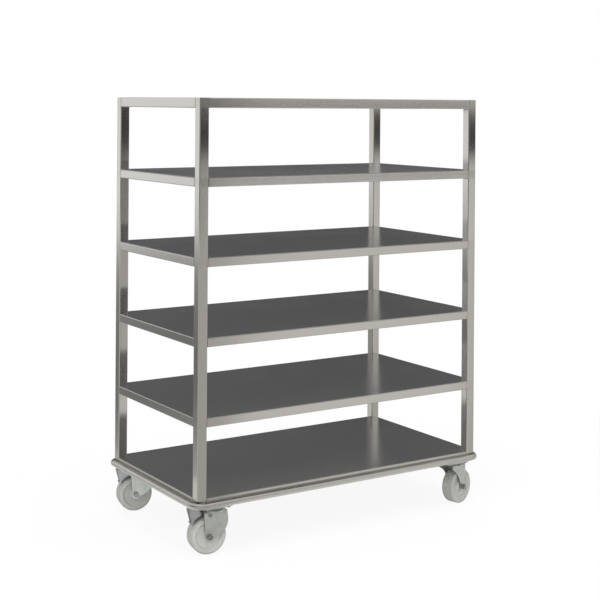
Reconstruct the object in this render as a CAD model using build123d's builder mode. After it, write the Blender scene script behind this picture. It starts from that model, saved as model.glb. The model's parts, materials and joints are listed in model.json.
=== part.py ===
"""Banquet cart: a welded square-tube frame with a deck and four shelves, a bumper
round the deck and four swivel castors, the two at the left end with a foot brake.

Millimetres. The origin is on the floor under the middle of the cart, +X runs along
its length to the right, -Y is the front and +Z is up.
"""
import os
from math import cos, radians, sin

from build123d import *

# Frame, over the outer faces of the posts
frame_length = 1200.0
frame_depth = 646.0
shelf_count = 4              # above the deck
shelf_pitch = 268.0
post_size = 35.0
post_wall = 1.5
post_corner = 3.0
rail_size = 30.0
rail_wall = 1.5
rail_corner = 2.5
cap_thick = 3.0
cap_gap = 0.1                # between a cap and the bore of its post
panel_thick = 1.5
panel_gap = 0.2              # between a panel and the posts it is cut out round
stiffener_width = 60.0       # over the top of the hat section
stiffener_depth = 24.0
stiffener_flange = 18.0
stiffener_sheet = 1.5

# Bumper, a round tube that lies along the deck's rails
bumper_diameter = 22.0
bumper_wall = 1.5
bumper_bend = 36.0           # radius of the tube's middle line at the corners
bumper_drop = 22.5           # middle of the tube below the top of the deck
bumper_weld_gap = 0.2        # between the tube and the rails, and between its two halves
bumper_notch_gap = 5.0       # room round the tube where the foot of a post is cut away

# Castors: the swivel axis of each, in from the post's outer faces
castor_inset_left = 88.0
castor_inset_right = 70.0
castor_inset_y = 44.0
castor_trail = 25.0
wheel_diameter = 127.0
wheel_width = 47.0
wheel_shoulder = 12.0
wheel_rim = 15.0             # depth of the rim from the tread inwards
wheel_web = 37.0             # thickness of the disc between hub and rim
wheel_draft = 6.0            # taper of the hub and of the rim's inner side
hub_diameter = 42.0
hub_gap = 0.3                # between an end of the hub and the fork's leg
fork_gap = 55.0              # between the legs
fork_sheet = 3.5
fork_bend = 8.0
fork_room = 18.0             # from the wheel's top to the underside of the crown
fork_heel = 46.0             # from the swivel axis back to the legs' trailing edge, at the top
fork_toe = 38.0              # from the swivel axis forward to the legs' leading edge, at the top
fork_toe_drop = 8.0          # straight stretch of the leading edge under the crown
fork_belly = 21.0            # how far the leading edge bows out on a braked castor
fork_hollow = 16.0           # and how far it bows in on a plain one
fork_eye = 16.0              # radius of the legs' rounded end
fork_eye_turn = 20.0         # how far below the axle's level that rounding reaches in front
crown_diameter = 76.0
crown_thick = 4.0
race_inner = 20.0
race_outer = 29.0
race_height = 2.2
swivel_gap = 0.3             # between the fork and what it turns against
dish_depth = 8.5
dish_bottom_diameter = 62.0
dish_top_diameter = 74.0
plate_length = 105.0
plate_width = 85.0
plate_corner = 8.0
plate_thick = 4.0
kingpin_diameter = 14.0
kingpin_head_diameter = 30.0
kingpin_head = 5.0
axle_diameter = 12.0
axle_hex = 18.0              # across the flats
axle_head = 7.0
axle_nut = 10.0
axle_end = 2.0               # the bolt's end past its nut
running_gap = 0.05           # all round a shaft that turns
seat_gap = 0.1               # all round a shaft that does not

# Mounting plates under the corners of the frame, and the castors' bolts
mount_length = 136.0
mount_width = 88.0
mount_corner = 14.0
mount_thick = 6.0
bolt_pitch_x = 80.0
bolt_pitch_y = 60.0
bolt_diameter = 8.0
bolt_hex = 13.0
bolt_head = 5.0
bolt_hole_gap = 0.5

# Foot brake
brake_pivot_rise = 9.0       # above the wheel's top
brake_pivot_lead = 1.0       # ahead of the axle
brake_pin_diameter = 8.0
brake_pin_head_diameter = 13.0
brake_pin_head = 2.5
brake_barrel_diameter = 14.0
brake_barrel_gap = 1.5       # between the barrel and the legs
pedal_width = 24.0
pedal_sheet = 2.5
pedal_crown_gap = 2.5        # under and behind the crown
pedal_rise = 21.0            # top of the pedal above its pivot
pedal_slope = 16.0           # length of the step up to the pedal's top
pedal_overreach = 6.5        # past the wheel's trailing side
brake_bar_diameter = 8.0     # the rolled end of the pedal's skirt
brake_bar_angle = 141.0      # round the axle from the leading side
brake_bar_lift = 6.0         # free room over the tread

# Heights, stacked up from the floor
axle_height = wheel_diameter / 2
crown_bottom = wheel_diameter + fork_room
crown_top = crown_bottom + crown_thick
dish_bottom = crown_top + race_height + swivel_gap
plate_bottom = dish_bottom + dish_depth
mount_bottom = plate_bottom + plate_thick
frame_bottom = mount_bottom + mount_thick
deck_top = frame_bottom + rail_size + panel_thick
frame_top = deck_top + (shelf_count + 1) * shelf_pitch
bumper_height = deck_top - bumper_drop
bumper_out = bumper_diameter / 2 + bumper_weld_gap

fork_half = fork_gap / 2 + fork_sheet
barrel_half = fork_gap / 2 - brake_barrel_gap

corners = {
    "front_left": (-1, -1),
    "front_right": (1, -1),
    "back_left": (-1, 1),
    "back_right": (1, 1),
}
# How far each fork is turned; at 0 its wheel trails to the left
castor_turn = {"front_left": -9.0, "front_right": 195.0, "back_left": -11.0, "back_right": 172.0}
braked_corners = ("front_left", "back_left")


def write(part, name):
    """Label a finished piece and save it under its own name."""
    part.label = name
    export_step(part, f"parts/{name}.step")


def square_tube(start, length, size, wall, corner):
    """A square tube that runs from a plane along the plane's normal."""
    with BuildPart() as tube:
        with BuildSketch(start):
            RectangleRounded(size, size, corner)
            RectangleRounded(size - 2 * wall, size - 2 * wall, corner - wall, mode=Mode.SUBTRACT)
        extrude(amount=length)
    return tube.part


def bend_centre(side_x, side_y):
    """The middle of the bumper's bend at a corner, seen from above."""
    x = side_x * (frame_length / 2 + bumper_out - bumper_bend)
    y = side_y * (frame_depth / 2 + bumper_out - bumper_bend)
    return x, y


def corner_post(side_x, side_y):
    """A post with its foot cut away round the bumper's bend, open to below."""
    x = side_x * (frame_length - post_size) / 2
    y = side_y * (frame_depth - post_size) / 2
    bend_x, bend_y = bend_centre(side_x, side_y)
    bend_plane = Plane((bend_x, bend_y, bumper_height), x_dir=(side_x, 0, 0), z_dir=(0, -side_x, 0))
    notch_radius = bumper_diameter / 2 + bumper_notch_gap
    bore = post_size - 2 * post_wall
    with BuildPart() as post:
        with BuildSketch(Plane((x, y, frame_bottom))):
            RectangleRounded(post_size, post_size, post_corner)
            RectangleRounded(bore, bore, post_corner - post_wall, mode=Mode.SUBTRACT)
        extrude(amount=frame_top - frame_bottom)
        with BuildSketch(bend_plane):
            with Locations((bumper_bend, 0)):
                Circle(notch_radius)
            with Locations((bumper_bend, -deck_top / 2)):
                Rectangle(2 * notch_radius, deck_top)
        bend_axis = Axis((bend_x, bend_y, 0), (0, 0, side_x * side_y))
        revolve(axis=bend_axis, revolution_arc=90, mode=Mode.SUBTRACT)
    return post.part


def post_caps():
    """Square plugs, flush with the tops of the posts."""
    size = post_size - 2 * post_wall - 2 * cap_gap
    with BuildPart() as caps:
        with BuildSketch(Plane.XY.offset(frame_top - cap_thick)):
            with GridLocations(frame_length - post_size, frame_depth - post_size, 2, 2):
                RectangleRounded(size, size, post_corner - post_wall)
        extrude(amount=cap_thick)
    return caps.part


def rail_set(top, size, wall, corner):
    """The four rails of one level, which butt between the posts and are flush with them outside."""
    long = frame_length - 2 * post_size
    short = frame_depth - 2 * post_size
    x = (frame_length - size) / 2
    y = (frame_depth - size) / 2
    z = top - size / 2
    starts = {
        "front": (Plane((-long / 2, -y, z), x_dir=(0, 1, 0), z_dir=(1, 0, 0)), long),
        "back": (Plane((-long / 2, y, z), x_dir=(0, 1, 0), z_dir=(1, 0, 0)), long),
        "left": (Plane((-x, -short / 2, z), x_dir=(1, 0, 0), z_dir=(0, 1, 0)), short),
        "right": (Plane((x, -short / 2, z), x_dir=(1, 0, 0), z_dir=(0, 1, 0)), short),
    }
    return {side: square_tube(start, length, size, wall, corner) for side, (start, length) in starts.items()}


def panel(top):
    """A sheet over a level's rails, out to their outer faces and cut out round the posts."""
    cut_out = 2 * (post_size + panel_gap)
    with BuildPart() as sheet:
        with BuildSketch(Plane.XY.offset(top - panel_thick)):
            Rectangle(frame_length, frame_depth)
            with GridLocations(frame_length, frame_depth, 2, 2):
                Rectangle(cut_out, cut_out, mode=Mode.SUBTRACT)
        extrude(amount=panel_thick)
    return sheet.part


def stiffeners(tops):
    """Hat sections along the middle of every panel, between the left and right rails."""
    length = frame_length - 2 * rail_size
    half = stiffener_width / 2
    sheet = stiffener_sheet
    with BuildPart() as hats:
        for top in tops:
            start = Plane((-length / 2, 0, top - panel_thick), x_dir=(0, 1, 0), z_dir=(1, 0, 0))
            with BuildSketch(start):
                with Locations((0, -sheet / 2)):
                    Rectangle(stiffener_width + 2 * stiffener_flange, sheet)
                with Locations((0, -stiffener_depth / 2)):
                    Rectangle(stiffener_width, stiffener_depth)
                with Locations((0, -(stiffener_depth - sheet) / 2)):
                    Rectangle(2 * (half - sheet), stiffener_depth - sheet, mode=Mode.SUBTRACT)
            extrude(amount=length)
    return hats.part


def bumper_half(side_x):
    """One end of the bumper: a round tube with two bends, cut off square at the cart's middle."""
    x = side_x * (frame_length / 2 + bumper_out)
    y = frame_depth / 2 + bumper_out
    seam = side_x * bumper_weld_gap / 2
    z = bumper_height
    with BuildPart() as half:
        with BuildLine() as route:
            FilletPolyline((seam, -y, z), (x, -y, z), (x, y, z), (seam, y, z), radius=bumper_bend)
        with BuildSketch(Plane((seam, -y, z), x_dir=(0, 1, 0), z_dir=(side_x, 0, 0))):
            Circle(bumper_diameter / 2)
            Circle(bumper_diameter / 2 - bumper_wall, mode=Mode.SUBTRACT)
        sweep(path=route.wires()[0])
    return half.part


def castor_place(corner):
    """Where a castor's swivel axis stands, seen from above."""
    side_x, side_y = corners[corner]
    inset = castor_inset_left if side_x < 0 else castor_inset_right
    return side_x * (frame_length / 2 - inset), side_y * (frame_depth / 2 - castor_inset_y)


def castor_plane(corner):
    """A castor's own floor plane: its origin is under the swivel axis and its wheel trails to -X."""
    x, y = castor_place(corner)
    turn = radians(castor_turn[corner])
    return Plane((x, y, 0), x_dir=(cos(turn), sin(turn), 0), z_dir=(0, 0, 1))


def side_plane(base, x=0.0, z=0.0):
    """An upright plane along the wheel, through a point of the castor's middle plane."""
    return Plane(base.from_local_coords((x, 0, z)), x_dir=base.x_dir, z_dir=-base.y_dir)


def axle_plane(base):
    """The wheel's middle plane, with the axle through its origin."""
    return side_plane(base, -castor_trail, axle_height)


def castor_centres():
    """Places of the four swivel axes."""
    return Locations(*[castor_place(corner) for corner in corners])


def castor_mounts():
    """Plates welded under the corners of the frame, with the threaded holes for the castors."""
    with BuildPart() as mounts:
        with BuildSketch(Plane.XY.offset(mount_bottom)):
            with castor_centres():
                RectangleRounded(mount_length, mount_width, mount_corner)
                with GridLocations(bolt_pitch_x, bolt_pitch_y, 2, 2):
                    Circle(bolt_diameter / 2, mode=Mode.SUBTRACT)
        extrude(amount=mount_thick)
    return mounts.part


def castor_bolts():
    """Hexagon bolts, from below through the castors' plates into the mounting plates."""
    with BuildPart() as bolts:
        with BuildSketch(Plane.XY.offset(plate_bottom)):
            with castor_centres():
                with GridLocations(bolt_pitch_x, bolt_pitch_y, 2, 2):
                    RegularPolygon(bolt_hex / 2, 6, major_radius=False)
        extrude(amount=-bolt_head)
        with BuildSketch(Plane.XY.offset(plate_bottom)):
            with castor_centres():
                with GridLocations(bolt_pitch_x, bolt_pitch_y, 2, 2):
                    Circle(bolt_diameter / 2 - running_gap)
        extrude(amount=plate_thick + mount_thick)
    return bolts.part


def castor_plate(corner):
    """A castor's top plate with the dish of its swivel bearing."""
    x, y = castor_place(corner)
    with BuildPart() as plate:
        with BuildSketch(Plane((x, y, plate_bottom))):
            RectangleRounded(plate_length, plate_width, plate_corner)
            with GridLocations(bolt_pitch_x, bolt_pitch_y, 2, 2):
                Circle(bolt_diameter / 2 + bolt_hole_gap, mode=Mode.SUBTRACT)
        extrude(amount=plate_thick)
        with BuildSketch(Plane((x, y, dish_bottom))):
            Circle(dish_bottom_diameter / 2)
        with BuildSketch(Plane((x, y, plate_bottom))):
            Circle(dish_top_diameter / 2)
        loft()
        with BuildSketch(Plane((x, y, dish_bottom))):
            Circle(kingpin_diameter / 2 + running_gap)
        extrude(amount=dish_depth + plate_thick, mode=Mode.SUBTRACT)
    return plate.part


def castor_kingpins():
    """Rivets that hold the forks up under the plates and that the forks turn on."""
    head_top = crown_bottom - swivel_gap
    with BuildPart() as kingpins:
        with BuildSketch(Plane.XY.offset(head_top)):
            with castor_centres():
                Circle(kingpin_head_diameter / 2)
        extrude(amount=-kingpin_head)
        with BuildSketch(Plane.XY.offset(head_top)):
            with castor_centres():
                Circle(kingpin_diameter / 2)
        extrude(amount=mount_bottom - head_top)
    return kingpins.part


def leg_points(corner):
    """Side view of the fork's legs: the points round the axle's eye and along the bowed leading edge."""
    bow = fork_belly if corner in braked_corners else -fork_hollow
    axle = Vector(-castor_trail, axle_height)
    eye_back = axle + Vector(-fork_eye, 0)
    eye_bottom = axle + Vector(0, -fork_eye)
    eye_front = axle + Vector(fork_eye, 0).rotate(Axis.Z, -fork_eye_turn)
    toe = Vector(fork_toe, crown_bottom - fork_toe_drop)
    chord = toe - eye_front
    belly = eye_front + chord / 2 + Vector(chord.Y, -chord.X).normalized() * bow
    return eye_back, eye_bottom, eye_front, belly, toe


def castor_fork(corner):
    """A pressed fork: two legs, a round crown with a raised bearing track, and its holes."""
    base = castor_plane(corner)
    across = Plane(base.origin, x_dir=base.y_dir, z_dir=base.x_dir)
    reach = castor_trail + wheel_diameter
    eye_back, eye_bottom, eye_front, belly, toe = leg_points(corner)
    with BuildPart() as fork:
        with BuildSketch(across) as outside:
            with Locations((0, crown_top / 2)):
                Rectangle(2 * fork_half, crown_top)
            fillet(outside.vertices().group_by(Axis.Y)[-1], fork_bend)
        extrude(amount=reach, both=True)
        with BuildSketch(across) as inside:
            with Locations((0, crown_bottom / 2)):
                Rectangle(fork_gap, crown_bottom)
            fillet(inside.vertices().group_by(Axis.Y)[-1], fork_bend - fork_sheet)
        extrude(amount=reach, both=True, mode=Mode.SUBTRACT)
        with BuildSketch(side_plane(base)):
            with BuildLine():
                Polyline(toe, (fork_toe, crown_top), (-fork_heel, crown_top), eye_back)
                ThreePointArc(eye_back, eye_bottom, eye_front)
                ThreePointArc(eye_front, belly, toe)
            make_face()
        extrude(amount=fork_half, both=True, mode=Mode.INTERSECT)
        with BuildSketch(base.offset(crown_bottom)):
            Circle(crown_diameter / 2)
        extrude(amount=crown_thick)
        with BuildSketch(base.offset(crown_top)):
            Circle(race_outer)
            Circle(race_inner, mode=Mode.SUBTRACT)
        extrude(amount=race_height)
        with BuildSketch(base.offset(crown_bottom)):
            Circle(kingpin_diameter / 2 + running_gap)
        extrude(amount=crown_thick, mode=Mode.SUBTRACT)
        with BuildSketch(axle_plane(base)):
            Circle(axle_diameter / 2 + seat_gap)
        extrude(amount=fork_half, both=True, mode=Mode.SUBTRACT)
        if corner in braked_corners:
            with BuildSketch(brake_plane(base)):
                Circle(brake_pin_diameter / 2 + seat_gap)
            extrude(amount=fork_half, both=True, mode=Mode.SUBTRACT)
    return fork.part


def castor_axle(corner):
    """The axle: a hexagon bolt through both legs, and its nut."""
    middle = axle_plane(castor_plane(corner))
    with BuildPart() as axle:
        with BuildSketch(middle.offset(fork_half)):
            RegularPolygon(axle_hex / 2, 6, major_radius=False)
        extrude(amount=axle_head)
        with BuildSketch(middle.offset(fork_half)):
            Circle(axle_diameter / 2)
        extrude(amount=-(2 * fork_half + axle_nut + axle_end))
        with BuildSketch(middle.offset(-fork_half)):
            RegularPolygon(axle_hex / 2, 6, major_radius=False)
            Circle(axle_diameter / 2 + running_gap, mode=Mode.SUBTRACT)
        extrude(amount=-axle_nut)
    return axle.part


def castor_wheel(corner):
    """A moulded wheel with a rounded tread, a rim, a thinner disc and a hub."""
    base = castor_plane(corner)
    centre = base.from_local_coords((-castor_trail, 0, axle_height))
    section = Plane(centre, x_dir=base.y_dir, z_dir=base.x_dir)
    bore = axle_diameter / 2 + running_gap
    hub = hub_diameter / 2
    hub_half = fork_gap / 2 - hub_gap
    rim = wheel_diameter / 2 - wheel_rim
    half = wheel_width / 2
    tread = wheel_diameter / 2
    with BuildPart() as wheel:
        with BuildSketch(section) as profile:
            with BuildLine():
                Polyline(
                    (0, bore),
                    (hub_half, bore),
                    (hub_half, hub - wheel_draft),
                    (wheel_web / 2, hub),
                    (wheel_web / 2, rim - wheel_draft),
                    (half, rim),
                    (half, tread),
                    (0, tread),
                )
                mirror(about=Plane.YZ)
            make_face()
            fillet(profile.vertices().group_by(Axis.Y)[-1].sort_by(Axis.X)[0::2], wheel_shoulder)
        revolve(axis=Axis(centre, base.y_dir))
    return wheel.part


def brake_plane(base):
    """An upright plane along the wheel with the pedal's pivot through its origin."""
    return side_plane(base, -castor_trail + brake_pivot_lead, wheel_diameter + brake_pivot_rise)


def brake_pin(corner):
    """The pedal's pivot: a pin through both legs, headed at each end."""
    middle = brake_plane(castor_plane(corner))
    with BuildPart() as pin:
        with BuildSketch(middle):
            Circle(brake_pin_diameter / 2)
        extrude(amount=fork_half, both=True)
        for side in (-1, 1):
            with BuildSketch(middle.offset(side * fork_half)):
                Circle(brake_pin_head_diameter / 2)
            extrude(amount=side * brake_pin_head)
    return pin.part


def brake_pedal(corner):
    """A pressed pedal: a bent tread between two cheeks, a barrel on the pin, and a skirt whose
    rolled end grips the wheel."""
    middle = brake_plane(castor_plane(corner))
    axle = Vector(-brake_pivot_lead, -(brake_pivot_rise + wheel_diameter / 2))
    barrel = brake_barrel_diameter / 2
    bar_reach = (wheel_diameter + brake_bar_diameter) / 2 + brake_bar_lift
    step_low = Vector(
        castor_trail - brake_pivot_lead - fork_heel - pedal_crown_gap,
        min(barrel, fork_room - brake_pivot_rise - pedal_crown_gap),
    )
    step_high = Vector(step_low.X - pedal_slope, pedal_rise)
    tip = Vector(axle.X - wheel_diameter / 2 - pedal_overreach, pedal_rise)
    bar = axle + Vector(bar_reach, 0).rotate(Axis.Z, brake_bar_angle)
    over_wheel = axle + Vector(bar_reach, 0).rotate(Axis.Z, (brake_bar_angle + 90) / 2)
    over_axle = axle + Vector(0, bar_reach)
    with BuildPart() as pedal:
        for side in (-1, 1):
            with BuildSketch(middle.offset(side * (pedal_width / 2 - pedal_sheet))):
                with BuildLine():
                    Polyline(over_axle, (0, step_low.Y), step_low, step_high, tip, bar)
                    ThreePointArc(bar, over_wheel, over_axle)
                make_face()
                Circle(barrel)
            extrude(amount=side * pedal_sheet)
        with BuildSketch(middle):
            with BuildLine():
                Polyline(step_low, step_high, tip, bar)
                offset(amount=pedal_sheet, side=Side.LEFT)
            make_face()
            with Locations(bar):
                Circle(brake_bar_diameter / 2)
        extrude(amount=pedal_width / 2, both=True)
        with BuildSketch(middle):
            Circle(barrel)
        extrude(amount=barrel_half, both=True)
        with BuildSketch(middle):
            Circle(brake_pin_diameter / 2 + running_gap)
        extrude(amount=barrel_half, both=True, mode=Mode.SUBTRACT)
    return pedal.part


os.makedirs("parts", exist_ok=True)

for corner, (side_x, side_y) in corners.items():
    write(corner_post(side_x, side_y), f"post_{corner}")
write(post_caps(), "post_caps")
for side, rail in rail_set(frame_top, post_size, post_wall, post_corner).items():
    write(rail, f"top_rail_{side}")

levels = {"deck": deck_top}
for number in range(1, shelf_count + 1):
    levels[f"shelf_{number}"] = deck_top + number * shelf_pitch
for level, top in levels.items():
    for side, rail in rail_set(top - panel_thick, rail_size, rail_wall, rail_corner).items():
        write(rail, f"{level}_rail_{side}")
    write(panel(top), f"{level}_panel")
write(stiffeners(levels.values()), "shelf_stiffeners")

write(bumper_half(-1), "bumper_left")
write(bumper_half(1), "bumper_right")

write(castor_mounts(), "castor_mounts")
write(castor_bolts(), "castor_bolts")
write(castor_kingpins(), "castor_kingpins")
for corner in corners:
    write(castor_plate(corner), f"castor_{corner}_plate")
    write(castor_fork(corner), f"castor_{corner}_fork")
    write(castor_axle(corner), f"castor_{corner}_axle")
    write(castor_wheel(corner), f"castor_{corner}_wheel")
for corner in braked_corners:
    write(brake_pin(corner), f"castor_{corner}_brake_pin")
    write(brake_pedal(corner), f"castor_{corner}_brake_pedal")
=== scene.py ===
"""Banquet cart: the finishes of its steel, zinc and nylon, its weld beads, and a plain studio.

Metres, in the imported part's own frame: the origin is on the floor under the cart's
middle, +X runs to the right, -Y is the front and +Z is up.
"""
import json
import math

import bpy
from mathutils import Matrix, Vector


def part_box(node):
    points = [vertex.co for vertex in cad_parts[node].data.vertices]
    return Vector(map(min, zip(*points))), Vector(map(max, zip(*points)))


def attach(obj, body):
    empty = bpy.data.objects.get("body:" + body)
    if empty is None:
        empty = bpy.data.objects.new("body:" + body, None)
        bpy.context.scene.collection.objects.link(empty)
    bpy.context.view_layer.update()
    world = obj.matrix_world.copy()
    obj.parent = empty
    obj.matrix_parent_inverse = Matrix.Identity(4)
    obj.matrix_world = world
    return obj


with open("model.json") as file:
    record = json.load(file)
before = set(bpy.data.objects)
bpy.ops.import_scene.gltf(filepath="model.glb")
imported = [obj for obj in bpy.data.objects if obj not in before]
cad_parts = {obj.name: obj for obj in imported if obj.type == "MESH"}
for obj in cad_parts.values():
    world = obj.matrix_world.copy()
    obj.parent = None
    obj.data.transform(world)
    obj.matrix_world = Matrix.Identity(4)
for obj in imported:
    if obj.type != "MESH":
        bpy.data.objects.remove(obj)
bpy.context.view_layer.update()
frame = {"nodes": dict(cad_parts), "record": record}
nodes = frame["nodes"]

CORNERS = ("front_left", "front_right", "back_left", "back_right")
BRAKED = ("front_left", "back_left")
SIDES = ("front", "back", "left", "right")
LONG_SIDES = ("front", "back")       # their rails run along X, the others along Y
LEVELS = ("deck", "shelf_1", "shelf_2", "shelf_3", "shelf_4")
RAIL_LEVELS = LEVELS + ("top",)
DECK_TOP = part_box("deck_panel")[1][2]
WHITE = (1.0, 1.0, 1.0)


def roll_joint(corner):
    """The record's joint that a castor's wheel turns on."""
    joints = frame["record"]["behaviour"]["joints"]
    return next(joint for joint in joints if joint["name"] == f"roll_{corner}")


# Nodes

def add(tree, kind, links=(), **settings):
    """A node with its settings made, and its inputs linked to an output socket or set to a value."""
    node = tree.nodes.new(kind)
    for key, value in settings.items():
        setattr(node, key, value)
    for key, source in links:
        if isinstance(source, bpy.types.NodeSocket):
            tree.links.new(source, node.inputs[key])
        else:
            node.inputs[key].default_value = source
    return node


def calculate(tree, operation, *values):
    """The result of a Math node."""
    return add(tree, "ShaderNodeMath", enumerate(values), operation=operation).outputs[0]


def rescale(tree, value, source, target=(0.0, 1.0), smooth=False):
    """A value taken from one range to another and kept inside it, with soft ends where smooth."""
    node = add(
        tree, "ShaderNodeMapRange",
        [
            ("Value", value),
            ("From Min", source[0]),
            ("From Max", source[1]),
            ("To Min", target[0]),
            ("To Max", target[1]),
        ],
        interpolation_type="SMOOTHSTEP" if smooth else "LINEAR",
    )
    return node.outputs["Result"]


def blend(tree, factor, first, second, kind="RGBA"):
    """A colour, or a vector, between two of them."""
    node = add(tree, "ShaderNodeMix", [("Factor", factor), ("A", first), ("B", second)], data_type=kind)
    return node.outputs["Result"]


def noise(tree, where, scale, detail, roughness=0.5):
    """The value of a noise texture."""
    inputs = [("Vector", where), ("Scale", scale), ("Detail", detail), ("Roughness", roughness)]
    return add(tree, "ShaderNodeTexNoise", inputs).outputs["Fac"]


def bumped(tree, height, strength, depth):
    """The normal of a surface with a fine relief."""
    inputs = [("Strength", strength), ("Distance", depth), ("Height", height)]
    return add(tree, "ShaderNodeBump", inputs).outputs["Normal"]


def opaque(colour):
    """A colour with its alpha, as a socket takes it."""
    return (*colour, 1.0)


# Shared shader effects

VECTOR = "NodeSocketVector"
FLOAT = "NodeSocketFloat"

GRAIN_DETAIL = 5.0
GRAIN_BREAKUP = 0.65         # roughness of the grain's noise
PATCH_DETAIL = 4.0
RAGGED_SCALE = 160.0         # of the noise that breaks up the border of a ground weld
RAGGED_DETAIL = 3.0
RAGGED_REACH = 1.5           # where the border ends, in the weld's own reaches
SCUFF_SCALE = 90.0
SCUFF_DETAIL = 6.0
SCUFF_START = 0.84           # share of a wheel's radius where its scuffs begin
RING_PITCH = 0.0012          # of the turned rings on a wheel's faces
EDGE_TURN = (0.3, 0.8)       # cosine to the axle or to Z: of an edge at most, and of a face at least


def new_group(name, inputs, outputs):
    """An empty shader group with the named inputs, as (name, socket type, default), and outputs."""
    group = bpy.data.node_groups.new(name, "ShaderNodeTree")
    for label, kind, value in inputs:
        socket = group.interface.new_socket(label, in_out="INPUT", socket_type=kind)
        if value is not None:
            socket.default_value = value
    for label, kind in outputs:
        group.interface.new_socket(label, in_out="OUTPUT", socket_type=kind)
    return group


def brushed_grain_group():
    """Fine parallel scratches, long along one axis and close across it, from 0 to 1."""
    group = new_group(
        "brushed_grain",
        [("Vector", VECTOR, None), ("Stretch", VECTOR, (1.0, 1.0, 1.0))],
        [("Streak", FLOAT)],
    )
    source = add(group, "NodeGroupInput").outputs
    stretched = add(
        group, "ShaderNodeVectorMath",
        [(0, source["Vector"]), (1, source["Stretch"])], operation="MULTIPLY",
    )
    streak = noise(group, stretched.outputs[0], 1.0, GRAIN_DETAIL, GRAIN_BREAKUP)
    add(group, "NodeGroupOutput", [("Streak", streak)])
    return group


def soft_patches_group():
    """Large soft patches, for wiped and handled surfaces, from 0 to 1."""
    group = new_group(
        "soft_patches",
        [
            ("Vector", VECTOR, None),
            ("Scale", FLOAT, 4.0),
            ("Low", FLOAT, 0.35),
            ("High", FLOAT, 0.7),
        ],
        [("Mask", FLOAT)],
    )
    source = add(group, "NodeGroupInput").outputs
    cloud = noise(group, source["Vector"], source["Scale"], PATCH_DETAIL)
    mask = rescale(group, cloud, (source["Low"], source["High"]), smooth=True)
    add(group, "NodeGroupOutput", [("Mask", mask)])
    return group


def ground_weld_group():
    """Where a weld was ground flush: a ragged band either side of its seam, from 0 to 1."""
    group = new_group(
        "ground_weld",
        [
            ("Vector", VECTOR, None),
            ("Along", FLOAT, 0.0),
            ("Seam", FLOAT, 0.0),
            ("Reach", FLOAT, 0.02),
        ],
        [("Mask", FLOAT)],
    )
    source = add(group, "NodeGroupInput").outputs
    offset = calculate(group, "SUBTRACT", source["Along"], source["Seam"])
    gap = calculate(group, "ABSOLUTE", offset)
    cloud = noise(group, source["Vector"], RAGGED_SCALE, RAGGED_DETAIL)
    ragged = calculate(group, "MULTIPLY_ADD", cloud, source["Reach"], gap)
    border = calculate(group, "MULTIPLY", source["Reach"], RAGGED_REACH)
    mask = rescale(group, ragged, (source["Reach"], border), (1.0, 0.0), smooth=True)
    add(group, "NodeGroupOutput", [("Mask", mask)])
    return group


def rolling_wear_group():
    """Wear of a wheel, from coordinates centred on its axle, which lies along Y."""
    group = new_group(
        "rolling_wear",
        [
            ("Vector", VECTOR, None),
            ("Tread Radius", FLOAT, 0.06),
            ("Ring Pitch", FLOAT, RING_PITCH),
        ],
        [("Scuff", FLOAT), ("Rings", FLOAT)],
    )
    source = add(group, "NodeGroupInput").outputs
    flat = add(
        group, "ShaderNodeVectorMath",
        [(0, source["Vector"]), (1, (1.0, 0.0, 1.0))], operation="MULTIPLY",
    )
    length = add(group, "ShaderNodeVectorMath", [(0, flat.outputs[0])], operation="LENGTH")
    radius = length.outputs["Value"]
    start = calculate(group, "MULTIPLY", source["Tread Radius"], SCUFF_START)
    tread = rescale(group, radius, (start, source["Tread Radius"]), smooth=True)
    grime = noise(group, source["Vector"], SCUFF_SCALE, SCUFF_DETAIL)
    scuff = calculate(group, "MULTIPLY", tread, grime)
    turns = calculate(group, "DIVIDE", radius, source["Ring Pitch"])
    rings = calculate(group, "PINGPONG", turns, 0.5)
    add(group, "NodeGroupOutput", [("Scuff", scuff), ("Rings", rings)])
    return group


def painted_edge_shade_group():
    """Painted shade on a castor's pressing: its upright faces that look away from the axle, from 0 to
    1.
    """
    group = new_group(
        "painted_edge_shade",
        [("Normal", VECTOR, None), ("Axle", VECTOR, (0.0, 1.0, 0.0))],
        [("Mask", FLOAT)],
    )
    source = add(group, "NodeGroupInput").outputs
    facing = add(
        group, "ShaderNodeVectorMath",
        [(0, source["Normal"]), (1, source["Axle"])], operation="DOT_PRODUCT",
    )
    split = add(group, "ShaderNodeSeparateXYZ", [(0, source["Normal"])])
    masks = []
    for lean in (facing.outputs["Value"], split.outputs["Z"]):
        size = calculate(group, "ABSOLUTE", lean)
        masks.append(rescale(group, size, EDGE_TURN, (1.0, 0.0), smooth=True))
    mask = calculate(group, "MULTIPLY", *masks)
    add(group, "NodeGroupOutput", [("Mask", mask)])
    return group


BRUSHED_GRAIN = brushed_grain_group()
SOFT_PATCHES = soft_patches_group()
GROUND_WELD = ground_weld_group()
ROLLING_WEAR = rolling_wear_group()
PAINTED_EDGE_SHADE = painted_edge_shade_group()


def effect(tree, group, links):
    """The outputs of a shared effect, placed in a material."""
    return add(tree, "ShaderNodeGroup", links, node_tree=group).outputs


# Finishes

GRAIN_ALONG = 6.0            # scratches per metre along the grain
GRAIN_ACROSS = 1400.0        # and across it
GRAIN_DEPTH = 0.0004
STREAK_TONES = (0.94, 1.06)  # shares of the steel's colour that its streaks go between
STREAK_ROUGHNESS = 0.04      # added on the palest streaks
HANDLED_SCALE = 5.0          # of the patches that handling leaves
HANDLED_ROUGHNESS = (-0.01, 0.02)        # added on clear steel, and on such a patch
BUMPER_END = 0.587           # past this X the bumper runs along Y

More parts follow.
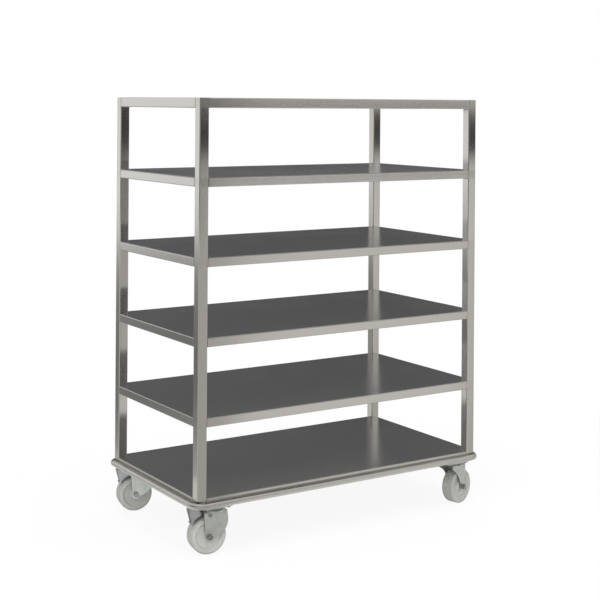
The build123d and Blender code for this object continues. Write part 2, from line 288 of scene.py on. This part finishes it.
# Ground welds: each rail's end along its own axis, and the rails' heights up a post
RAIL_END = (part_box("deck_rail_front")[1][0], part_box("deck_rail_right")[1][1])
RAIL_MIDDLE = (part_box("deck_rail_front")[0][2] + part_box("deck_rail_front")[1][2]) / 2
SHELF_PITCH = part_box("shelf_1_panel")[1][2] - DECK_TOP
GROUND_REACH = (0.010, 0.010, 0.020)     # on tubes along X, Y and Z
GROUND_TINT = (0.97, 0.96, 0.94)
GROUND_ROUGHNESS = 0.06      # added on a ground weld

CLOUD_SCALE = 38.0           # of the patches on zinc
CLOUD_RANGE = (0.3, 0.75)
CLOUD_ROUGHNESS = (-0.06, 0.08)          # added on clear zinc, and on such a patch
SPECKLE_SCALE = 900.0
SPECKLE_DETAIL = 3.0
SPECKLE_RELIEF = 0.12
SPECKLE_DEPTH = 0.0003
# painted shade: a dark teal tone on the upright edge faces of the castors' forks and pedals
PAINTED_SHADE_COLOUR = (0.07, 0.095, 0.10)

NYLON_COLOUR = (0.50, 0.50, 0.475)
NYLON_CLOUDY = (0.44, 0.44, 0.415)
NYLON_SCUFFED = (0.30, 0.295, 0.28)
NYLON_CLOUD_SCALE = 30.0
NYLON_CLOUD_RANGE = (0.45, 0.8)
NYLON_ROUGHNESS = (0.38, 0.58)
GRIT_SCALE = 420.0
GRIT_DETAIL = 6.0
GRIT_RELIEF = 0.15
GRIT_DEPTH = 0.0004
RING_SHARE = 0.3             # of the turned rings in the relief, beside the grit
TREAD_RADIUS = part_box("castor_front_left_wheel")[1][2] / 2


def new_finish(name):
    """A material with its Principled shader: (material, tree, shader, object coordinates)."""
    material = bpy.data.materials.new(name)
    material.use_nodes = True
    tree = material.node_tree
    shader = tree.nodes["Principled BSDF"]
    where = add(tree, "ShaderNodeTexCoord")
    return material, tree, shader, where.outputs["Object"]


def connect(tree, shader, colour, roughness, normal):
    """Link a finish's colour, roughness and relief to its shader."""
    for label, output in (("Base Color", colour), ("Roughness", roughness), ("Normal", normal)):
        tree.links.new(output, shader.inputs[label])


def grain_stretch(axis):
    """How the grain's noise is drawn out along an axis, 0 for X, 1 for Y or 2 for Z."""
    return [GRAIN_ALONG if i == axis else GRAIN_ACROSS for i in range(3)]


def bumper_stretch(tree, where):
    """The grain's stretch on the bumper: along X, and along Y on its two ends."""
    split = add(tree, "ShaderNodeSeparateXYZ", [(0, where)])
    out = calculate(tree, "ABSOLUTE", split.outputs["X"])
    end = calculate(tree, "GREATER_THAN", out, BUMPER_END)
    return blend(tree, end, grain_stretch(0), grain_stretch(1), "VECTOR")


def seam_place(tree, where, axis):
    """Distance along a tube, and the place of its welds: a rail's ends, or the rails up a post."""
    split = add(tree, "ShaderNodeSeparateXYZ", [(0, where)])
    if axis < 2:
        return calculate(tree, "ABSOLUTE", split.outputs[axis]), RAIL_END[axis]
    half = SHELF_PITCH / 2
    up = calculate(tree, "SUBTRACT", split.outputs["Z"], RAIL_MIDDLE)
    return calculate(tree, "WRAP", up, half, -half), 0.0


def satin_steel(name, axis, colour, roughness, relief, welded=False):
    """Stainless steel with a satin grain along an axis, or round the bumper where the axis is None."""
    material, tree, shader, where = new_finish(name)
    stretch = bumper_stretch(tree, where) if axis is None else grain_stretch(axis)
    streak = effect(tree, BRUSHED_GRAIN, [("Vector", where), ("Stretch", stretch)])["Streak"]
    dark, pale = [opaque(c * share for c in colour) for share in STREAK_TONES]
    tone = blend(tree, streak, dark, pale)
    handled = effect(tree, SOFT_PATCHES, [("Vector", where), ("Scale", HANDLED_SCALE)])["Mask"]
    worn = rescale(tree, handled, (0.0, 1.0), [roughness + change for change in HANDLED_ROUGHNESS])
    rough = calculate(tree, "MULTIPLY_ADD", streak, STREAK_ROUGHNESS, worn)
    if welded:
        along, seam = seam_place(tree, where, axis)
        ground = effect(
            tree, GROUND_WELD,
            [("Vector", where), ("Along", along), ("Seam", seam), ("Reach", GROUND_REACH[axis])],
        )["Mask"]
        tone = blend(tree, ground, tone, opaque(c * tint for c, tint in zip(colour, GROUND_TINT)))
        rough = calculate(tree, "MULTIPLY_ADD", ground, GROUND_ROUGHNESS, rough)
    shader.inputs["Metallic"].default_value = 1.0
    connect(tree, shader, tone, rough, bumped(tree, streak, relief, GRAIN_DEPTH))
    return material


def cloudy_metal(name, colour, cloud, roughness, corner=None):
    """Metal with faint patches of a second tone, and painted shade on the upright edge faces of a
    castor's pressing.
    """
    material, tree, shader, where = new_finish(name)
    low, high = CLOUD_RANGE
    patches = effect(
        tree, SOFT_PATCHES,
        [("Vector", where), ("Scale", CLOUD_SCALE), ("Low", low), ("High", high)],
    )["Mask"]
    tone = blend(tree, patches, opaque(colour), opaque(cloud))
    rough = rescale(tree, patches, (0.0, 1.0), [roughness + change for change in CLOUD_ROUGHNESS])
    speckle = noise(tree, where, SPECKLE_SCALE, SPECKLE_DETAIL)
    # painted shade: the corner's fork or pedal is darkened on its upright edge faces
    if corner:
        normal = add(tree, "ShaderNodeTexCoord").outputs["Normal"]
        axle = roll_joint(corner)["axis"]
        edge = effect(tree, PAINTED_EDGE_SHADE, [("Normal", normal), ("Axle", axle)])["Mask"]
        tone = blend(tree, edge, tone, opaque(PAINTED_SHADE_COLOUR))
    shader.inputs["Metallic"].default_value = 1.0
    connect(tree, shader, tone, rough, bumped(tree, speckle, SPECKLE_RELIEF, SPECKLE_DEPTH))
    return material


def wheel_nylon(corner):
    """Off-white moulded nylon, with faint turned rings on its faces and a scuffed tread."""
    material, tree, shader, where = new_finish(f"wheel_nylon_{corner}")
    joint = roll_joint(corner)
    across = Vector(joint["axis"])
    turn = Matrix.Rotation(math.atan2(across.x, across.y), 3, "Z")
    centred = add(
        tree, "ShaderNodeMapping",
        [
            ("Vector", where),
            ("Location", -(turn @ Vector(joint["pos_m"]))),
            ("Rotation", turn.to_euler()),
        ],
    )
    wear = effect(
        tree, ROLLING_WEAR,
        [("Vector", centred.outputs[0]), ("Tread Radius", TREAD_RADIUS)],
    )
    low, high = NYLON_CLOUD_RANGE
    patches = effect(
        tree, SOFT_PATCHES,
        [("Vector", where), ("Scale", NYLON_CLOUD_SCALE), ("Low", low), ("High", high)],
    )["Mask"]
    cloudy = blend(tree, patches, opaque(NYLON_COLOUR), opaque(NYLON_CLOUDY))
    tone = blend(tree, wear["Scuff"], cloudy, opaque(NYLON_SCUFFED))
    grit = noise(tree, where, GRIT_SCALE, GRIT_DETAIL)
    rough = rescale(tree, grit, (0.0, 1.0), NYLON_ROUGHNESS)
    height = calculate(tree, "MULTIPLY_ADD", wear["Rings"], RING_SHARE, grit)
    connect(tree, shader, tone, rough, bumped(tree, height, GRIT_RELIEF, GRIT_DEPTH))
    return material


TUBE_COLOUR = (0.585, 0.575, 0.55)
TUBE_ROUGHNESS = (0.11, 0.11, 0.07)      # of tubes along X, Y and Z
TUBE_RELIEF = 0.12
SHEET_COLOUR = (0.50, 0.50, 0.50)
PRESSING_COLOUR = (0.70, 0.73, 0.70)
PRESSING_CLOUD = (0.60, 0.65, 0.64)
PRESSING_ROUGHNESS = 0.38
PEDAL_COLOUR = (0.61, 0.63, 0.65)
PEDAL_CLOUD = (0.51, 0.54, 0.57)
PEDAL_ROUGHNESS = 0.36
FASTENER_COLOUR = (0.36, 0.37, 0.36)
FASTENER_CLOUD = (0.28, 0.29, 0.28)
WELD_COLOUR = (0.50, 0.48, 0.45)
WELD_CLOUD = (0.38, 0.33, 0.27)

tube_along = [
    satin_steel(f"satin_tube_{letter}", axis, TUBE_COLOUR, roughness, TUBE_RELIEF, welded=True)
    for axis, (letter, roughness) in enumerate(zip("xyz", TUBE_ROUGHNESS))
]
bumper_tube = satin_steel("satin_bumper", None, TUBE_COLOUR, roughness=0.28, relief=TUBE_RELIEF)
shelf_sheet = satin_steel("satin_sheet", 0, SHEET_COLOUR, roughness=0.20, relief=0.15)
zinc_plate = cloudy_metal("zinc_plate", PRESSING_COLOUR, PRESSING_CLOUD, PRESSING_ROUGHNESS)
zinc_fastener = cloudy_metal("zinc_fastener", FASTENER_COLOUR, FASTENER_CLOUD, roughness=0.30)
weld_metal = cloudy_metal("weld_metal", WELD_COLOUR, WELD_CLOUD, roughness=0.34)


def coat(node, material):
    """Give a CAD node its finish."""
    mesh = nodes[node].data
    mesh.materials.clear()
    mesh.materials.append(material)


def coat_frame():
    """Finishes of the welded frame, with the grain along each tube."""
    for corner in CORNERS:
        coat(f"post_{corner}", tube_along[2])
    coat("post_caps", tube_along[0])
    for level in RAIL_LEVELS:
        for side in SIDES:
            coat(f"{level}_rail_{side}", tube_along[0 if side in LONG_SIDES else 1])
    for level in LEVELS:
        coat(f"{level}_panel", shelf_sheet)
    coat("shelf_stiffeners", shelf_sheet)
    for end in ("left", "right"):
        coat(f"bumper_{end}", bumper_tube)
    coat("castor_mounts", shelf_sheet)


def coat_castors():
    """Finishes of the castors' pressings, fasteners and wheels."""
    coat("castor_bolts", zinc_fastener)
    coat("castor_kingpins", zinc_fastener)
    for corner in CORNERS:
        coat(f"castor_{corner}_plate", zinc_plate)
        # each corner's fork and pedal get a material of their own, for the painted edge shade set by
        # that corner's axle
        fork = cloudy_metal(
            f"zinc_fork_{corner}", PRESSING_COLOUR, PRESSING_CLOUD, PRESSING_ROUGHNESS, corner,
        )
        coat(f"castor_{corner}_fork", fork)
        coat(f"castor_{corner}_axle", zinc_fastener)
        coat(f"castor_{corner}_wheel", wheel_nylon(corner))
    for corner in BRAKED:
        coat(f"castor_{corner}_brake_pin", zinc_fastener)
        pedal = cloudy_metal(
            f"zinc_pedal_{corner}", PEDAL_COLOUR, PEDAL_CLOUD, PEDAL_ROUGHNESS, corner,
        )
        coat(f"castor_{corner}_brake_pedal", pedal)


coat_frame()
coat_castors()


# Weld beads, laid along the seams in Geometry Nodes

BEAD_RADIUS = 0.0020
BEAD_PITCH = 0.0016
BEAD_SEED = 7
RIPPLE_SEGMENTS = 7
RIPPLE_RINGS = 4
RIPPLE_LEAST = (0.92, 0.92, 0.78)        # a ripple's size is between these, the last along the seam
RIPPLE_MOST = (1.06, 1.06, 0.98)
TUBE_CORNER = 0.0025         # radius of the rails' corners, where a bead starts
GROUND_MARGIN = 0.0045       # left clear of the outer faces, which are ground flush
STITCH = 0.026
BUMPER_STITCHES = (-0.42, -0.14, 0.14, 0.42)
BUMPER_END_STITCHES = (-0.14, 0.14)
CREVICE_OUT = 0.0013         # from the rail's face to a stitch under the bumper
CREVICE_UP = 0.0022          # and up from the rail's underside
MOUNT_HALF_LENGTH = 0.068    # of a castor's mounting plate


def inner_and_outer(low, high, side):
    """A rail's inner and outer faces, across its length."""
    across = 1 if side in LONG_SIDES else 0
    if side in ("front", "left"):
        return high[across], low[across]
    return low[across], high[across]


def along_or_across(side, along, across, up):
    """A point of a rail from its own directions."""
    return (along, across, up) if side in LONG_SIDES else (across, along, up)


def rail_seams():
    """Lines inside and under each rail's ends; the top frame's tubes have them underneath alone."""
    lines = []
    for level in RAIL_LEVELS:
        for side in SIDES:
            low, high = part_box(f"{level}_rail_{side}")
            inner, outer = inner_and_outer(low, high, side)
            outward = 1 if outer > inner else -1
            axis = 0 if side in LONG_SIDES else 1
            under = (inner + outward * TUBE_CORNER, outer - outward * GROUND_MARGIN)
            inside = (low[2] + TUBE_CORNER, high[2])
            for end in (low[axis], high[axis]):
                lines.append([along_or_across(side, end, across, low[2]) for across in under])
                if level != "top":
                    lines.append([along_or_across(side, end, inner, up) for up in inside])
    return lines


def bumper_seams():
    """Stitches under the bumper, in the crevice between its tube and the deck's rails."""
    lines = []
    for side in SIDES:
        low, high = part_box(f"deck_rail_{side}")
        inner, outer = inner_and_outer(low, high, side)
        across = outer + CREVICE_OUT * (1 if outer > inner else -1)
        up = low[2] + CREVICE_UP
        for middle in BUMPER_STITCHES if side in LONG_SIDES else BUMPER_END_STITCHES:
            ends = (middle - STITCH / 2, middle + STITCH / 2)
            lines.append([along_or_across(side, along, across, up) for along in ends])
    return lines


def mount_seams():
    """A stitch at the inner end of each castor's mounting plate, under the long rail."""
    lines = []
    for corner in CORNERS:
        low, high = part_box(f"castor_{corner}_plate")
        middle = (low[0] + high[0]) / 2
        x = middle - math.copysign(MOUNT_HALF_LENGTH, middle)
        rail_low, rail_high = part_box("deck_rail_" + corner.split("_")[0])
        ends = (rail_low[1] + GROUND_MARGIN, rail_high[1] - TUBE_CORNER)
        lines.append([(x, y, rail_low[2]) for y in ends])
    return lines


def bead_tree():
    """Geometry Nodes: overlapping flattened ripples along each edge of a mesh of lines."""
    tree = bpy.data.node_groups.new("bead_along_seam", "GeometryNodeTree")
    for label, kind in (
        ("Geometry", "NodeSocketGeometry"),
        ("Pitch", "NodeSocketFloat"),
        ("Radius", "NodeSocketFloat"),
        ("Seed", "NodeSocketInt"),
        ("Material", "NodeSocketMaterial"),
    ):
        tree.interface.new_socket(label, in_out="INPUT", socket_type=kind)
    tree.interface.new_socket("Geometry", in_out="OUTPUT", socket_type="NodeSocketGeometry")
    source = add(tree, "NodeGroupInput").outputs
    seam = add(tree, "GeometryNodeMeshToCurve", [("Mesh", source["Geometry"])])
    even = add(
        tree, "GeometryNodeResampleCurve",
        [("Curve", seam.outputs[0]), ("Length", source["Pitch"])], mode="LENGTH",
    )
    ripple = add(
        tree, "GeometryNodeMeshUVSphere",
        [("Segments", RIPPLE_SEGMENTS), ("Rings", RIPPLE_RINGS), ("Radius", source["Radius"])],
    )
    tangent = add(tree, "GeometryNodeInputTangent")
    turn = add(tree, "FunctionNodeAlignRotationToVector", [("Vector", tangent.outputs[0])], axis="Z")
    uneven = add(
        tree, "FunctionNodeRandomValue",
        [(0, RIPPLE_LEAST), (1, RIPPLE_MOST), ("Seed", source["Seed"])], data_type="FLOAT_VECTOR",
    )
    laid = add(
        tree, "GeometryNodeInstanceOnPoints",
        [
            ("Points", even.outputs[0]),
            ("Instance", ripple.outputs["Mesh"]),
            ("Rotation", turn.outputs[0]),
            ("Scale", uneven.outputs[0]),
        ],
    )
    solid = add(tree, "GeometryNodeRealizeInstances", [(0, laid.outputs[0])])
    smooth = add(tree, "GeometryNodeSetShadeSmooth", [(0, solid.outputs[0])])
    coated = add(
        tree, "GeometryNodeSetMaterial",
        [(0, smooth.outputs[0]), ("Material", source["Material"])],
    )
    add(tree, "NodeGroupOutput", [(0, coated.outputs[0])])
    return tree


def input_key(tree, label):
    """The identifier that a modifier knows a tree's input by."""
    sockets = [item for item in tree.interface.items_tree if item.in_out == "INPUT"]
    return next(socket.identifier for socket in sockets if socket.name == label)


def weld_beads():
    """Every bead of the frame, as one plain mesh."""
    lines = rail_seams() + bumper_seams() + mount_seams()
    points = [point for line in lines for point in line]
    mesh = bpy.data.meshes.new("seam_lines")
    mesh.from_pydata(points, [(i, i + 1) for i in range(0, len(points), 2)], [])
    holder = bpy.data.objects.new("seam_lines", mesh)
    bpy.context.collection.objects.link(holder)
    modifier = holder.modifiers.new("beads", "NODES")
    tree = bead_tree()
    modifier.node_group = tree
    modifier[input_key(tree, "Pitch")] = BEAD_PITCH
    modifier[input_key(tree, "Radius")] = BEAD_RADIUS
    modifier[input_key(tree, "Seed")] = BEAD_SEED
    modifier[input_key(tree, "Material")] = weld_metal
    graph = bpy.context.evaluated_depsgraph_get()
    beads = bpy.data.meshes.new_from_object(holder.evaluated_get(graph))
    bpy.data.objects.remove(holder)
    beads.name = "weld_beads"
    piece = bpy.data.objects.new("weld_beads", beads)
    bpy.context.collection.objects.link(piece)
    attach(piece, "frame")


weld_beads()


# Studio

SOFT_LIGHT = 0.75            # strength of the surround where it isn't seen
FLOOR_TONE = (0.9, 0.9, 0.9)
FLOOR_REACH = 14.0
FLOOR_GLOW = (0.90, 1.0)     # share of its white that no shadow takes, under the cart and away
SHADOW_REACH = (0.7, 2.2)    # distances from the cart's middle between which that share grows


def seen_directly(tree):
    """1 on rays from the camera, from polished surfaces and through glass, else 0."""
    path = add(tree, "ShaderNodeLightPath").outputs
    first = calculate(tree, "MAXIMUM", path["Is Camera Ray"], path["Is Glossy Ray"])
    return calculate(tree, "MAXIMUM", first, path["Is Transmission Ray"])


def studio_world():
    """A white surround where it is seen, and an even soft light elsewhere."""
    world = bpy.data.worlds.new("studio")
    world.use_nodes = True
    tree = world.node_tree
    tree.nodes.clear()
    white = add(tree, "ShaderNodeBackground", [("Color", opaque(WHITE)), ("Strength", 1.0)])
    soft = add(tree, "ShaderNodeBackground", [("Color", opaque(WHITE)), ("Strength", SOFT_LIGHT)])
    mix = add(
        tree, "ShaderNodeMixShader",
        [(0, seen_directly(tree)), (1, soft.outputs[0]), (2, white.outputs[0])],
    )
    add(tree, "ShaderNodeOutputWorld", [("Surface", mix.outputs[0])])
    bpy.context.scene.world = world


def plain_sheet(name, corners, material):
    """A flat four-sided piece of the studio."""
    mesh = bpy.data.meshes.new(name)
    mesh.from_pydata(corners, [], [(0, 1, 2, 3)])
    mesh.materials.append(material)
    sheet = bpy.data.objects.new(name, mesh)
    bpy.context.collection.objects.link(sheet)
    return sheet


def studio_floor():
    """A pale floor, white where it is seen, that keeps a soft shadow."""
    material = bpy.data.materials.new("pale_floor")
    material.use_nodes = True
    tree = material.node_tree
    tree.nodes.clear()
    matt = add(tree, "ShaderNodeBsdfDiffuse", [("Color", opaque(FLOOR_TONE))])
    glow = add(tree, "ShaderNodeEmission", [("Color", opaque(WHITE)), ("Strength", 1.0)])
    where = add(tree, "ShaderNodeTexCoord")
    away = add(tree, "ShaderNodeVectorMath", [(0, where.outputs["Object"])], operation="LENGTH")
    clear = rescale(tree, away.outputs["Value"], SHADOW_REACH, FLOOR_GLOW, smooth=True)
    share = calculate(tree, "MULTIPLY", seen_directly(tree), clear)
    mix = add(tree, "ShaderNodeMixShader", [(0, share), (1, matt.outputs[0]), (2, glow.outputs[0])])
    add(tree, "ShaderNodeOutputMaterial", [("Surface", mix.outputs[0])])
    r = FLOOR_REACH
    plain_sheet("studio_floor", [(-r, -r, 0), (r, -r, 0), (r, r, 0), (-r, r, 0)], material)


# Cards that show in reflections alone, to shade the steel. A card's stops are (metres, tone)
# along it: along Y from front to back where it lies, or up Z from foot to top where it stands.

CARD_LAYER = 0.002           # height of a lying card over the one under it
CARD_TOP = 7.0               # of the standing cards near the cart, and of the ceiling
CEILING_REACH = 9.0
MAT_FRONT = -13.0            # front edge of the two mats before the cart
MAT_CART = -0.35             # and their edge at the cart
WALL_DISTANCE = 9.0
WALL_REACH = 6.0             # to either side of a wall's middle
WALL_FOOT = 0.3
FRONT_ANGLE = -57.0          # direction that the camera sees in the front faces
FRONT_DISTANCE = 10.0
FRONT_REACH = 7.0
FRONT_SPLIT = (-1.6, -1.2)   # either side of the narrow front card
FAR_DISTANCE = 20.0
FAR_FOOT = 4.4               # of the far wall, and the top of the narrow card in front of it

DEEP = (0.02, 0.018, 0.03)
BLACK = (0.05, 0.045, 0.05)
DARK = (0.065, 0.063, 0.078)
GLOOM = (0.096, 0.095, 0.102)
SHADE = (0.17, 0.17, 0.165)
GREY = (0.17, 0.17, 0.17)
SLATE = (0.23, 0.23, 0.23)
DIM = (0.30, 0.30, 0.30)
MID = (0.40, 0.39, 0.38)
DULL = (0.52, 0.51, 0.48)
PLAIN = (0.66, 0.65, 0.62)
SOFT = (0.74, 0.74, 0.73)
WARM = (0.78, 0.77, 0.74)
PALE = (0.82, 0.81, 0.79)
BRIGHT = (0.93, 0.92, 0.90)
NEAR_WHITE = (0.95, 0.95, 0.94)


def card_tone(name, axis, stops):
    """A card's own glow, graded along one of its axes."""
    material = bpy.data.materials.new(name)
    material.use_nodes = True
    tree = material.node_tree
    tree.nodes.clear()
    where = add(tree, "ShaderNodeTexCoord")
    split = add(tree, "ShaderNodeSeparateXYZ", [(0, where.outputs["Object"])])
    low = stops[0][0]
    high = stops[-1][0]
    along = rescale(tree, split.outputs[axis], (low, high))
    tones = add(tree, "ShaderNodeValToRGB", [(0, along)])
    ramp = tones.color_ramp
    while len(ramp.elements) < len(stops):
        ramp.elements.new(0.5)
    for element, (place, tone) in zip(ramp.elements, stops):
        element.position = (place - low) / (high - low)
        element.color = opaque(tone)
    glow = add(tree, "ShaderNodeEmission", [("Color", tones.outputs["Color"]), ("Strength", 1.0)])
    add(tree, "ShaderNodeOutputMaterial", [("Surface", glow.outputs[0])])
    return material


def reflected_card(name, corners, axis, stops):
    """A card that is hidden from everything but reflections."""
    card = plain_sheet(name, corners, card_tone(name, axis, stops))
    card.visible_camera = False
    card.visible_diffuse = False
    card.visible_transmission = False
    card.visible_volume_scatter = False
    card.visible_shadow = False


def lying_card(name, height, front, back, stops):
    """A level card, from the X range of its front edge to that of its back edge."""
    start = stops[0][0]
    stop = stops[-1][0]
    outline = ((front[0], start), (front[1], start), (back[1], stop), (back[0], stop))
    reflected_card(name, [(x, y, height) for x, y in outline], "Y", stops)


def standing_card(name, angle, distance, span, stops):
    """An upright card that faces the cart from an angle, in degrees from +X towards +Y."""
    out = Vector((math.cos(math.radians(angle)), math.sin(math.radians(angle)), 0))
    side = Vector((-out.y, out.x, 0))
    up = Vector((0, 0, 1))
    foot = stops[0][0]
    top = stops[-1][0]
    outline = ((span[0], foot), (span[1], foot), (span[1], top), (span[0], top))
    reflected_card(name, [out * distance + side * s + up * h for s, h in outline], "Z", stops)


def floor_cards():
    """A grey floor, and darker mats on it before and behind the cart."""
    edge = FLOOR_REACH
    lying_card(
        "card_floor", CARD_LAYER, front=(-edge, edge), back=(-edge, edge),
        stops=[
            (-edge, (0.70, 0.69, 0.67)),
            (-6.0, WARM),
            (0.5, WARM),
            (4.0, (0.6, 0.59, 0.57)),
            (edge, NEAR_WHITE),
        ],
    )
    lying_card(
        "card_mat_front", 2 * CARD_LAYER, front=(-6.0, 6.98), back=(-6.0, -0.45),
        stops=[(MAT_FRONT, DULL), (MAT_CART, DULL)],
    )
    lying_card(
        "card_mat_right", 2 * CARD_LAYER, front=(11.26, edge), back=(0.55, edge),
        stops=[(MAT_FRONT, PLAIN), (-2.0, PLAIN), (MAT_CART, (0.55, 0.54, 0.52))],
    )
    lying_card(
        "card_mat_back", 2 * CARD_LAYER, front=(-1.6, -0.75), back=(-8.5, -4.6),
        stops=[
            (0.5, (0.5, 0.5, 0.49)),
            (1.2, (0.33, 0.33, 0.33)),
            (1.9, SLATE),
            (3.1, SLATE),
            (5.0, DIM),
            (7.0, (0.47, 0.47, 0.46)),
            (9.3, (0.81, 0.81, 0.8)),
            (11.5, NEAR_WHITE),
        ],
    )


def wall_cards():
    """Dark walls behind the shelves and on the left, and paler ones right and front left."""
    grey_wall = [(WALL_FOOT, MID), (2.7, DULL), (CARD_TOP, DULL)]
    dark_wall = [(WALL_FOOT, DARK), (1.7, DARK), (2.7, GREY), (CARD_TOP, DIM)]
    deep_wall = [(WALL_FOOT, DEEP), (1.62, DEEP), (2.0, GLOOM), (2.7, GREY), (CARD_TOP, DIM)]
    for name, angle, reach, stops in (
        ("card_wall_back_right", 57.0, 8.5, deep_wall),
        ("card_wall_left", 180.0, WALL_REACH, dark_wall),
        ("card_wall_right", 0.0, WALL_REACH, grey_wall),
        ("card_wall_front_left", 240.0, WALL_REACH, grey_wall),
    ):
        standing_card(name, angle, WALL_DISTANCE, (-WALL_REACH, reach), stops)


def upper_mats():
    """Two small mats over the one behind the cart."""
    lying_card(
        "card_mat_inner", 3 * CARD_LAYER, front=(-1.25, -0.45), back=(-2.0, -1.3),
        stops=[(1.8, MID), (3.8, MID)],
    )
    lying_card(
        "card_mat_corner", 3 * CARD_LAYER, front=(-8.6, -7.35), back=(-10.0, -8.3),
        stops=[(10.0, MID), (13.5, MID)],
    )


def front_cards():
    """What the front faces reflect: a pale card, and darker ones to its left, with a black band."""
    far, near = FRONT_SPLIT
    standing_card(
        "card_front_right", FRONT_ANGLE, FRONT_DISTANCE, (near, FRONT_REACH),
        [
            (0.0, WARM),
            (0.8, (0.74, 0.73, 0.71)),
            (0.92, (0.64, 0.63, 0.60)),
            (0.98, BLACK),
            (1.45, BLACK),
            (1.49, (0.75, 0.73, 0.70)),
            (2.2, BRIGHT),
            (CARD_TOP, (0.6, 0.6, 0.59)),
        ],
    )
    for name, span, low_tone, high_tone in (
        ("card_front_left", (far, near), DULL, DIM),
        ("card_front_far_left", (-FRONT_REACH, far), SHADE, DARK),
    ):
        standing_card(
            name, FRONT_ANGLE, FRONT_DISTANCE, span,
            [
                (0.0, low_tone),
                (0.90, low_tone),
                (0.98, BLACK),
                (1.50, BLACK),
                (1.54, high_tone),
                (2.5, high_tone),
                (3.2, low_tone),
                (CARD_TOP, DIM),
            ],
        )


def far_cards():
    """What the left faces reflect: a dark wall far off, and a narrow pale card under it."""
    standing_card(
        "card_wall_far", 133.0, FAR_DISTANCE, (-4.0, 6.0),
        [(FAR_FOOT, DULL), (4.9, DARK), (6.5, GREY), (15.0, DIM)],
    )
    standing_card(
        "card_wall_narrow", 125.6, FAR_DISTANCE, (-0.9, 0.9), [(0.5, PALE), (FAR_FOOT, PALE)],
    )


def ceiling_card():
    """A dim ceiling."""
    span = (-CEILING_REACH, CEILING_REACH)
    lying_card("card_ceiling", CARD_TOP, span, span, [(y, SOFT) for y in span])


# Lamps and camera

# The camera was fitted to the photograph: distances from the cart's middle and the deck's top
CAMERA_LEFT = 2.6944
CAMERA_FRONT = 4.1555
CAMERA_OVER_DECK = 1.3255
CAMERA_YAW = math.radians(-33.02)
CAMERA_ROLL = math.radians(0.407)
CAMERA_LENS = 78.51
CAMERA_SHIFT = -0.32907
SENSOR_WIDTH = 36.0


def area_lamp(name, place, target, size, power):
    """A square soft lamp that faces a point."""
    lamp = bpy.data.lights.new(name, "AREA")
    lamp.shape = "SQUARE"
    lamp.size = size
    lamp.energy = power
    holder = bpy.data.objects.new(name, lamp)
    holder.location = place
    holder.rotation_euler = (Vector(target) - Vector(place)).to_track_quat("-Z", "Y").to_euler()
    holder.visible_glossy = False
    bpy.context.collection.objects.link(holder)


def studio_camera():
    """The photograph's view."""
    camera = bpy.data.cameras.new("photograph_view")
    camera.sensor_width = SENSOR_WIDTH
    camera.lens = CAMERA_LENS
    camera.shift_y = CAMERA_SHIFT
    holder = bpy.data.objects.new("photograph_view", camera)
    place = Matrix.Translation((-CAMERA_LEFT, -CAMERA_FRONT, DECK_TOP + CAMERA_OVER_DECK))
    turn = Matrix.Rotation(CAMERA_YAW, 4, "Z") @ Matrix.Rotation(math.pi / 2, 4, "X")
    holder.matrix_world = place @ turn @ Matrix.Rotation(CAMERA_ROLL, 4, "Z")
    bpy.context.collection.objects.link(holder)
    bpy.context.scene.camera = holder


studio_world()
studio_floor()
floor_cards()
wall_cards()
upper_mats()
front_cards()
far_cards()
ceiling_card()
area_lamp("overhead", place=(0.0, -0.6, 4.2), target=(0.0, 0.0, 0.8), size=3.0, power=90.0)
area_lamp("left_front", place=(-3.2, -2.6, 3.0), target=(0.0, 0.0, 0.7), size=2.0, power=60.0)
studio_camera()
bpy.context.scene.view_settings.view_transform = "Standard"
